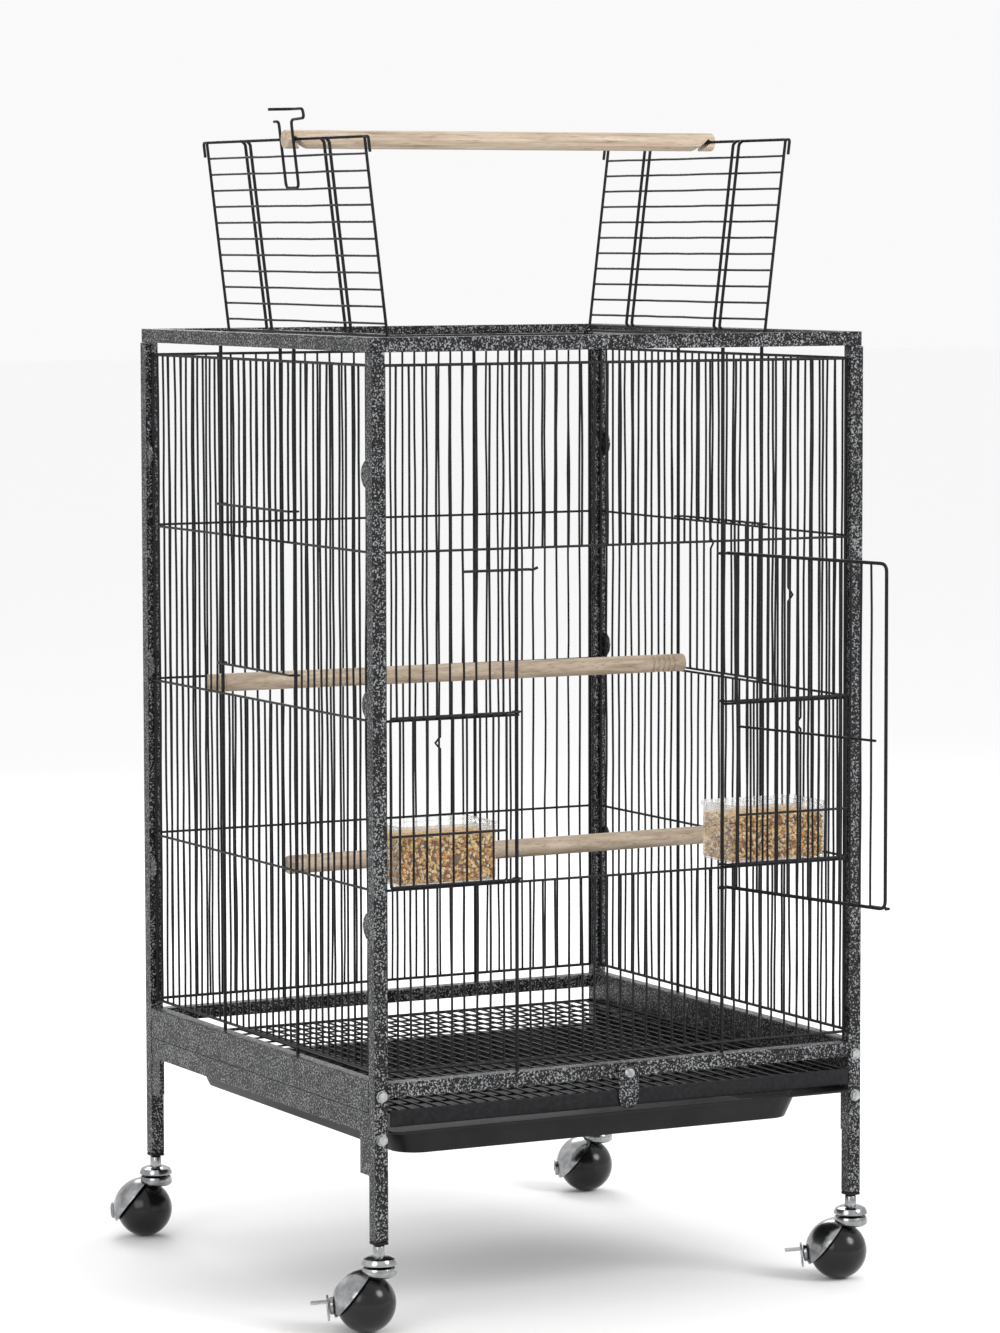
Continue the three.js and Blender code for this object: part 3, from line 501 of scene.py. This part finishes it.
# %% Feeder and nest doors
for name, side in (("left", -1), ("right", 1)):
    inner, outer = side * 9 * PITCH, side * 219.1
    places = range(10, 18) if side > 0 else range(-17, -9)
    left, right = min(inner, outer), max(inner, outer)
    meshes = sliding_door(left, right, 371.5, 511.5, places, [side * ANCHOR_FRONT], side * 14)
    meshes.append(wire([(left, DOOR - 0.4, 413.5), (right, DOOR - 0.4, 413.5)], 2.2))
    door = f"feeder_door_{name}"
    piece(f"feeder_wires_{name}", meshes, door, WIRE_COAT, [door])
for name, turn, raised, crimp in (("left", -90, 24, -1), ("right", 90, 0, 2)):
    low = 511.5 + raised
    half, eyes = 5 * PITCH, [-ANCHOR_SIDE, ANCHOR_SIDE]
    meshes = sliding_door(-half, half, low, low + 139, range(-4, 5), eyes, crimp)
    door = f"nest_door_{name}"
    piece(f"nest_wires_{name}", meshes, door, WIRE_COAT, [door], about_z(turn))

# %% Main door
LOW, HIGH, LENGTH, SET = 351.3, 637.3, 190.6, -5.6
rim = [(0, SET, LOW), (-LENGTH, SET, LOW), (-LENGTH, SET, HIGH), (0, SET, HIGH)]
main = [wire(bend(rim, 7), 3.0)]
main.append(bars(8, (-14 * PITCH, SET, LOW), (PITCH, 0, 0), (0, 0, HIGH - LOW), waver=2))
main.append(crimped(-6 * PITCH, SET, LOW, HIGH, 606, 6))
main.append(bars(5, (-5 * PITCH, SET, LOW), (PITCH, 0, 0), (0, 0, HIGH - LOW), waver=2))
main.append(wire([(-PITCH, SET - 2.2, 490), (-14 * PITCH - 3, SET - 2.2, 490)], 2.2))
main.append(wire([(-14 * PITCH, SET, 490), (-14 * PITCH, SET - 2.2, 490)], 2.0))
grip_end, grip_start = -LENGTH - 0.6, -LENGTH + 22
grip = [(grip_end, SET, LOW), (grip_end, SET - 5, LOW), (grip_start, SET - 5, LOW), (grip_start, SET, LOW)]
main.append(wire(bend(grip, 2.4), 2.2))
for z in (LOW, HIGH):
    main += [ring(0, 0, z, 3.4, 2.2), wire([(0, -3.4, z), (0, SET, z)], 2.2)]
hinge_turn = Matrix.Translation((ANCHOR_FRONT, PANEL, 0)) @ about_z(103)
piece("main_door_wires", main, "main_door", WIRE_COAT, ["main_door"], hinge_turn)

# %% [markdown]
# ## Roof flaps and latch
# Each flap is a ladder of thin bars on two pairs of uprights. It leans outward from its
# hinge wire. The latch is one long wire, bent to straddle the end of the play perch.

# %% Flaps
FLAP_H, FLAP_HALF, LEAN = 171, 158, 7


def flap_swing(side):
    lean = Matrix.Rotation(math.radians(side * LEAN), 4, "Y")
    return Matrix.Translation((side * FLAP_X, 0, FLAP_Z)) @ lean

for name, side in (("left", -1), ("right", 1)):
    meshes = [bars(11, (0, -FLAP_HALF, FLAP_H - 156.2), (0, 0, 14.2), (0, 2 * FLAP_HALF, 0), waver=1.2)]
    frame_path = [(0, -FLAP_HALF, 4.9), (0, FLAP_HALF, 4.9), (0, FLAP_HALF, FLAP_H), (0, -FLAP_HALF, FLAP_H),
                  (0, -FLAP_HALF, 4.9)]
    meshes.append(wire(bend(frame_path, 2), 2.6))
    top = [(0, -165, FLAP_H - 13), (0, -165, FLAP_H), (0, 165, FLAP_H), (0, 165, FLAP_H - 13)]
    meshes.append(wire(bend(top, 2.5), 2.6))
    for y in (-84, -74, 74, 84):
        foot, head = (0, y, 4.9), (0, y, FLAP_H)
        path = [foot, (side * -2.8, y, 7), (side * -2.8, y, FLAP_H - 3), head]
        meshes.append(wire(bend(path, 2), 2.8))
    for y in (-157, 157):
        meshes.append(ring(0, y, 0, 3.4, 2.0, upright=True))
    flap = f"roof_flap_{name}"
    piece(f"flap_wires_{name}", meshes, flap, WIRE_COAT, [flap], flap_swing(side))

# %% Latch
PERCH_Y, LATCH = -17.5, -4.6
near, far, bottom = PERCH_Y - 12.4, PERCH_Y + 12.4, FLAP_H - 41
latch_path = [(LATCH, far + 9, FLAP_H + 16), (LATCH, far, FLAP_H + 16), (LATCH, far, bottom),
              (LATCH, near, bottom),
              (LATCH, near, FLAP_H + 17), (LATCH, near - 26, FLAP_H + 18), (LATCH, near - 25, FLAP_H + 26),
              (LATCH, near - 2, FLAP_H + 26), (LATCH - 20, near, FLAP_H + 28)]
latch = [wire(bend(latch_path, 5, 7), 2.6)]
piece("latch_wire", latch, "flap_latch", WIRE_COAT, ["flap_latch"], flap_swing(-1))

# %% [markdown]
# ## Floor grate
# The grate is a tray-sized grid: long wires from front to back laid on cross wires, with
# a sheet lip at the front.

# %% Soft-edged slab
def slab(x0, x1, y0, y1, z0, z1, edge):
    block = bmesh.new()
    bmesh.ops.create_cube(block, size=1.0)
    for vertex in block.verts:
        vertex.co = ((x0 + x1) / 2 + vertex.co.x * (x1 - x0), (y0 + y1) / 2 + vertex.co.y * (y1 - y0),
                     (z0 + z1) / 2 + vertex.co.z * (z1 - z0))
    bmesh.ops.bevel(block, geom=block.edges[:], offset=edge, segments=3, profile=0.5, affect="EDGES")
    mesh = bpy.data.meshes.new("slab")
    block.to_mesh(mesh)
    block.free()
    return mesh

# %% Grate wires
GRATE = 185.0
grid = [bars(35, (-17 * PITCH, -235, GRATE), (PITCH, 0, 0), (0, 456, 0), waver=0.8)]
grid.append(bars(18, (-220, -222, GRATE - 1.6), (0, 2 * PITCH, 0), (440, 0, 0), thick=1.8, waver=0.5))
border = [(-220, -235, GRATE), (-220, 220.5, GRATE), (220, 220.5, GRATE), (220, -235, GRATE)]
grid.append(wire(bend(border, 5), 2.8))
piece("grate_wires", grid + [slab(-221.5, 221.5, -236.6, -235.1, 172.5, 186.4, 0.6)], "grate",
      WIRE_COAT, ["floor_grate"])

# %% [markdown]
# ## Turned pieces
# Perches, caster stems, balls and screws are all round. One helper turns a profile about
# its axis, closing it with a single point wherever the profile meets the axis.

# %% Lathe helper
def turned(profile, around=40):
    shape = bmesh.new()
    rings = []
    for radius, height in profile:
        if radius < 1e-6:
            rings.append([shape.verts.new((0, 0, height))])
        else:
            angles = [2 * math.pi * i / around for i in range(around)]
            points = [(radius * math.cos(a), radius * math.sin(a), height) for a in angles]
            rings.append([shape.verts.new(point) for point in points])
    for lower, upper in zip(rings, rings[1:]):
        for i in range(around):
            j = (i + 1) % around
            corners = [lower[i % len(lower)], lower[j % len(lower)],
                       upper[j % len(upper)], upper[i % len(upper)]]
            unique = list(dict.fromkeys(corners))
            if len(unique) > 2:
                shape.faces.new(unique)
    bmesh.ops.recalc_face_normals(shape, faces=shape.faces[:])
    mesh = bpy.data.meshes.new("turned")
    shape.to_mesh(mesh)
    shape.free()
    return mesh


def moved(mesh, *matrices):
    for matrix in matrices:
        mesh.transform(matrix)
    return mesh

# %% Perches
def dowel(start, end, grooves):
    start, end = Vector(start), Vector(end)
    half, r = (end - start).length / 2, 8.0
    profile = [(0, -half), (r - 1.2, -half), (r - 0.3, -half + 0.5), (r, -half + 1.4)]
    for z in sorted(grooves):
        profile += [(r, z - 1.3), (r - 0.9, z - 0.8), (r - 1.1, z), (r - 0.9, z + 0.8), (r, z + 1.3)]
    profile += [(r, half - 1.4), (r - 0.3, half - 0.5), (r - 1.2, half), (0, half)]
    aim = (end - start).to_track_quat("Z", "Y").to_matrix().to_4x4()
    return moved(turned(profile), Matrix.Translation((start + end) / 2) @ aim)

upper = dowel((-226.8, 112, 514), (226.8, 61, 517.5), [-220, -214, 196, 201, 206, 211, 216])
piece("upper_dowel", [upper], "cage_frame", WOOD, ["perch_upper"])
lower = dowel((-226.8, -52, 371), (226.8, -6, 367), [-219, -213, 211, 217])
piece("lower_dowel", [lower], "cage_frame", WOOD, ["perch_lower"])
nodes["play_perch"].data.materials.clear()
nodes["play_perch"].data.materials.append(WOOD)

# %% [markdown]
# ## Feed cups and seed
# A cup is a clear box with soft corners and a thick lip. Its wall is one closed surface:
# a list of rounded outlines, each joined to the next from the outside over the lip and
# down the inside. The seed is a heap of small grains scattered over a filled core.

# %% Tub helper
def outline(x0, x1, y0, y1, corner, z, steps=8):
    points = []
    for cx, cy, start in ((x1 - corner, y0 + corner, -90), (x1 - corner, y1 - corner, 0),
                          (x0 + corner, y1 - corner, 90), (x0 + corner, y0 + corner, 180)):
        for i in range(steps + 1):
            angle = math.radians(start + 90 * i / steps)
            points.append((cx + corner * math.cos(angle), cy + corner * math.sin(angle), z))
    return points


def tub(loops):
    shape = bmesh.new()
    rings = [[shape.verts.new(p) for p in outline(*loop)] for loop in loops]
    for lower, upper in zip(rings, rings[1:]):
        for i in range(len(lower)):
            j = (i + 1) % len(lower)
            shape.faces.new((lower[i], lower[j], upper[j], upper[i]))
    shape.faces.new(list(reversed(rings[0])))
    shape.faces.new(rings[-1])
    bmesh.ops.recalc_face_normals(shape, faces=shape.faces[:])
    mesh = bpy.data.meshes.new("tub")
    shape.to_mesh(mesh)
    shape.free()
    return mesh

# %% Cups
def cup(x):
    x0, x1, y0, y1 = x - 46, x + 46, -225, -165
    steps = [(2.5, 4.5, 369.5), (0.6, 6.4, 371), (0, 7, 374), (0, 7, 415.5),
             (-1.6, 8.6, 416.5), (-1.6, 8.6, 419.2),
             (-1.2, 8.2, 419.6), (1.4, 5.6, 419.6), (1.8, 5.2, 419), (1.8, 5.2, 373), (3, 4, 371.6)]
    return tub([(x0 + inset, x1 - inset, y0 + inset, y1 - inset, r, z) for inset, r, z in steps])

for name, x in (("left", -160), ("right", 160)):
    body = f"feed_cup_{name}"
    piece(f"cup_{name}", [cup(x)], body, CUP_CLEAR, [body], smooth=35)

# %% Seed finish
def seed_finish():
    finish, tree, shader = new_finish("mixed_seed")
    tone = add_node(tree, "ShaderNodeAttribute", attribute_name="tone")
    color = ramp(tree, tone.outputs["Fac"], [(0.0, (0.16, 0.06, 0.018)), (0.18, (0.48, 0.20, 0.035)),
                                             (0.45, (0.72, 0.36, 0.07)), (0.7, (0.80, 0.56, 0.17)),
                                             (0.9, (0.84, 0.74, 0.50))])
    tree.links.new(color, shader.inputs["Base Color"])
    shader.inputs["Roughness"].default_value = 0.45
    bump(tree, shader, noise(tree, place_of(tree), 1400.0, 2.0), 0.0001, 0.4)
    return finish

SEED = seed_finish()
print("made", SEED.name)

# %% Seed node tree
def seed_tree():
    tree = bpy.data.node_groups.new("seed_heap", "GeometryNodeTree")
    tree.interface.new_socket("Geometry", in_out="INPUT", socket_type="NodeSocketGeometry")
    for name, kind in (("Density", "Float"), ("Grain", "Vector"), ("Seed", "Int")):
        tree.interface.new_socket(name, in_out="INPUT", socket_type="NodeSocket" + kind)
    tree.interface.new_socket("Geometry", in_out="OUTPUT", socket_type="NodeSocketGeometry")
    given = tree.nodes.new("NodeGroupInput").outputs
    scatter = tree.nodes.new("GeometryNodeDistributePointsOnFaces")
    link(tree, given["Geometry"], scatter.inputs["Mesh"])
    link(tree, given["Density"], scatter.inputs["Density"])
    link(tree, given["Seed"], scatter.inputs["Seed"])
    grain = add_node(tree, "GeometryNodeMeshIcoSphere", {"Radius": 1.0, "Subdivisions": 1})
    spin = add_node(tree, "FunctionNodeRandomValue", data_type="FLOAT_VECTOR")
    spin.inputs[0].default_value = (0.0, 0.0, 0.0)
    spin.inputs[1].default_value = (6.28, 6.28, 6.28)
    link(tree, given["Seed"], spin.inputs["Seed"])
    place = tree.nodes.new("GeometryNodeInstanceOnPoints")
    link(tree, scatter.outputs["Points"], place.inputs["Points"])
    link(tree, grain.outputs["Mesh"], place.inputs["Instance"])
    link(tree, spin.outputs[0], place.inputs["Rotation"])
    link(tree, given["Grain"], place.inputs["Scale"])
    shade = add_node(tree, "FunctionNodeRandomValue", data_type="FLOAT")
    store = add_node(tree, "GeometryNodeStoreNamedAttribute", {"Name": "tone"},
                     data_type="FLOAT", domain="INSTANCE")
    link(tree, place.outputs["Instances"], store.inputs["Geometry"])
    link(tree, shade.outputs[1], store.inputs["Value"])
    finish_tree(tree, store.outputs["Geometry"], SEED)
    return tree

SEED_HEAP = seed_tree()
print("seed tree has", len(SEED_HEAP.nodes), "nodes")

# %% Fill the cups
def seed_heap(x, number):
    core = slab(x - 43, x + 43, -222, -168, 372.6, 409, 2.0)
    core.transform(Matrix.Scale(0.001, 4))
    host = bpy.data.objects.new("heap", core)
    modifier = host.modifiers.new("grow", "NODES")
    modifier.node_group = SEED_HEAP
    settings = {"Density": 230000.0, "Grain": (0.0019, 0.0013, 0.0012), "Seed": number}
    for item in SEED_HEAP.interface.items_tree:
        if item.in_out == "INPUT" and item.name in settings:
            modifier[item.identifier] = settings[item.name]
    grains = plain_mesh(host)
    host.modifiers.remove(modifier)
    bpy.data.objects.remove(host)
    grains.transform(Matrix.Scale(1000, 4))
    inner = slab(x - 42.6, x + 42.6, -221.6, -168.4, 373, 408.6, 2.0)
    return [grains, inner]

for name, x, number in (("left", -160, 3), ("right", 160, 8)):
    heap = seed_heap(x, number)
    piece(f"seed_{name}", heap, f"feed_cup_{name}", SEED, [], smooth=60)

# %% [markdown]
# ## Droppings tray
# A shallow moulded tub under a wide flange that slides on the guides. Its walls lean in
# towards the floor so the part leaves its mould, and every edge is soft.

# %% Tray
TUB = (-217, 178, -241, 180)
FLANGE = (-222.2, 222.2, -244, 192)
tray_loops = []
OUTSIDE = ((13, 18, 147.4), (8.5, 22, 148.2), (7, 24, 151), (0.6, 29.4, 166.3), (0.2, 29.8, 167.3))
LIP = ((0.4, 6, 167.3), (0, 6, 167.8), (0, 6, 168.8), (0.5, 6, 169.3))
INSIDE = ((2.2, 28, 169.3), (2.8, 27.4, 168.6), (9, 22, 151.5), (11, 20, 149.8), (15, 17, 149.4))
for (x0, x1, y0, y1), steps in ((TUB, OUTSIDE), (FLANGE, LIP), (TUB, INSIDE)):
    for inset, corner, z in steps:
        tray_loops.append((x0 + inset, x1 - inset, y0 + inset, y1 - inset, corner, z))
tray = [tub(tray_loops)]
piece("moulded_tray", tray, "droppings_tray", TRAY_BLACK, ["droppings_tray"], smooth=30)

# %% [markdown]
# ## Ball casters
# A caster is a black ball held by a pressed steel hood, with a swivel cap and a stem. The
# ball and the hood are drawn round the axle, tipped by its dip, then turned to where each
# caster points. The hood is the cap of a sphere, cut by one plane and given a wall.

# %% Ball and hood
BALL_CENTRE = (10.7, 0, 25)
AXLE_DIP, HOOD_TILT, HOOD_CUT = 5, 38, 13
AXLE = (Matrix.Translation(BALL_CENTRE) @ Matrix.Rotation(math.radians(AXLE_DIP), 4, "Y")
        @ Matrix.Rotation(math.radians(90), 4, "Y"))


def ball_profile(radius, steps=28, seam=0.35):
    profile = [(0, -radius * 0.985)]
    for i in range(1, steps):
        angle = math.pi * i / steps - math.pi / 2
        dent = seam if i == steps // 2 else 0.0
        profile.append(((radius - dent) * math.cos(angle), (radius - dent) * math.sin(angle)))
    profile.append((0, radius * 0.985))
    return profile


def hood_shell():
    shell = bmesh.new()
    bmesh.ops.create_uvsphere(shell, u_segments=48, v_segments=32, radius=28.6)
    cut = Vector((-math.cos(math.radians(HOOD_TILT)), 0, -math.sin(math.radians(HOOD_TILT))))
    everything = shell.verts[:] + shell.edges[:] + shell.faces[:]
    bmesh.ops.bisect_plane(shell, geom=everything, plane_co=cut * -HOOD_CUT, plane_no=cut, clear_outer=True)
    bmesh.ops.translate(shell, verts=shell.verts[:], vec=BALL_CENTRE)
    mesh = bpy.data.meshes.new("hood")
    shell.to_mesh(mesh)
    shell.free()
    host = bpy.data.objects.new("hood", mesh)
    wall = host.modifiers.new("wall", "SOLIDIFY")
    wall.thickness, wall.offset, wall.use_even_offset = 1.5, -1.0, True
    edge = host.modifiers.new("edge", "BEVEL")
    edge.width, edge.segments, edge.limit_method, edge.angle_limit = 0.4, 2, "ANGLE", math.radians(50)
    solid = plain_mesh(host)
    bpy.data.objects.remove(host)
    return solid

# %% Put the casters together
CORNERS = {"front_left": (-1, -1, 152), "front_right": (1, -1, 152),
           "rear_left": (-1, 1, 146), "rear_right": (1, 1, 158)}
STEM = [(0, 62.6), (4.4, 62.6), (5, 63.4), (5, 72.6), (4.6, 73.2), (3.2, 74), (3.2, 89.4), (2.6, 90), (0, 90)]
DISH = [(0, 59), (12.6, 59), (14.2, 57.3), (14.8, 57.6), (14.6, 59.4), (13, 62.4),
        (9, 64.2), (6, 64.5), (0, 64.5)]
CAP = [(0, 47.2), (12.4, 47.2), (14.2, 48.6), (14.7, 50), (14.6, 53), (13.8, 55), (12, 56.1), (0, 56.1)]
BOSS = [(0, 26), (7.4, 26), (7.4, 29.2), (6.9, 30.2), (4.4, 30.5), (4.2, 29.8), (0, 29.6)]
for corner, (sx, sy, turn) in CORNERS.items():
    stand = Matrix.Translation((sx * 229, sy * 229, 0)) @ about_z(turn)
    ball, swivel = f"caster_ball_{corner}", f"caster_swivel_{corner}"
    sphere = moved(turned(ball_profile(24.9), 56), AXLE)
    piece(f"ball_{corner}", [sphere], ball, BALL_BLACK, [ball], stand, 40)
    hood = [hood_shell(), turned(CAP, 48), moved(turned(BOSS, 32), AXLE)]
    piece(f"hood_{corner}", hood, swivel, CHROME, [f"caster_hood_{corner}"], stand, 35)
    piece(f"stem_{corner}", [turned(STEM, 32), turned(DISH, 48)], "cage_frame", CHROME,
          [f"caster_stem_{corner}"], stand, 35)

# %% [markdown]
# ## Tubes, guides and small hardware
# The tubes, plugs, bolts, guides and levers already have their true shape. They keep it
# and get rolled edges from a small live bevel, because a dead sharp edge never catches
# the light as a coated one does.

# %% Soften and finish the kept parts
KEPT = [
    (("post_", "top_frame", "rail_"), HAMMERED, 0.0011),
    (("tray_guide", "retainer_plate"), HAMMERED, 0.0004),
    (("leg_plug",), PLUG_BLACK, 0.0005),
    (("leg_bolt", "retainer_screw", "brake_lever"), ZINC, 0.0004),
    (("play_perch",), WOOD, 0.0004),
]


def soften(part, width):
    weld = part.modifiers.new("weld", "WELD")
    weld.merge_threshold = 0.00001
    edge = part.modifiers.new("edge", "BEVEL")
    edge.width, edge.segments = width, 3
    edge.limit_method, edge.angle_limit = "ANGLE", math.radians(38)


softened = 0
for name, part in nodes.items():
    for starts, material, width in KEPT:
        if name.startswith(starts):
            part.data.materials.clear()
            part.data.materials.append(material)
            soften(part, width)
            softened += 1
print("softened", softened, "kept parts")

# %% [markdown]
# ## Room, light and camera
# A pale floor and a pale surround keep attention on the wires. A large soft light from
# the front right makes the front tubes lighter than the left ones, and a weaker one on
# the left fills the shade.

# %% Floor and surround
floor_mesh = bpy.data.meshes.new("floor")
floor_mesh.from_pydata([(-30, -30, 0), (30, -30, 0), (30, 30, 0), (-30, 30, 0)], [], [(0, 1, 2, 3)])
floor = bpy.data.objects.new("floor", floor_mesh)
bpy.context.scene.collection.objects.link(floor)
floor_finish, _, floor_shader = new_finish("pale_floor")
floor_shader.inputs["Base Color"].default_value = (0.98, 0.98, 0.98, 1)
floor_shader.inputs["Roughness"].default_value = 0.75
floor_mesh.materials.append(floor_finish)
world = bpy.data.worlds.new("surround")
world.use_nodes = True
world.node_tree.nodes["Background"].inputs["Color"].default_value = (1.0, 1.0, 1.0, 1)
world.node_tree.nodes["Background"].inputs["Strength"].default_value = 0.95
bpy.context.scene.world = world
bpy.context.scene.view_settings.view_transform = "Standard"

# %% Soft lights
def soft_light(name, place, target, size, power):
    lamp = bpy.data.lights.new(name, "AREA")
    lamp.shape, lamp.size, lamp.energy = "DISK", size, power
    holder = bpy.data.objects.new(name, lamp)
    bpy.context.scene.collection.objects.link(holder)
    holder.location = place
    holder.rotation_euler = (Vector(target) - Vector(place)).to_track_quat("-Z", "Y").to_euler()

soft_light("key", (1.9, -2.6, 2.4), (0, 0, 0.5), 1.6, 70)
soft_light("fill", (-2.6, -1.6, 1.6), (0, 0, 0.5), 1.8, 22)
soft_light("back", (0.6, 2.6, 2.4), (0, 0, 0.6), 1.6, 30)

# %% Camera
camera_data = bpy.data.cameras.new("camera")
camera = bpy.data.objects.new("camera", camera_data)
bpy.context.scene.collection.objects.link(camera)
camera.location = CENTRE + Vector((-2.0333, -3.8872, 0.9067))
camera.rotation_mode = "XYZ"
camera.rotation_euler = (math.pi / 2 - 0.08618, 0.0, -0.48306)
camera.rotation_euler.rotate_axis("Z", -0.00224)
camera_data.sensor_width = 36
camera_data.lens = 134.77
camera_data.clip_end = 60
bpy.context.scene.camera = camera
print("camera", [round(v, 3) for v in camera.location])

# %% Update the scene
bpy.context.view_layer.update()
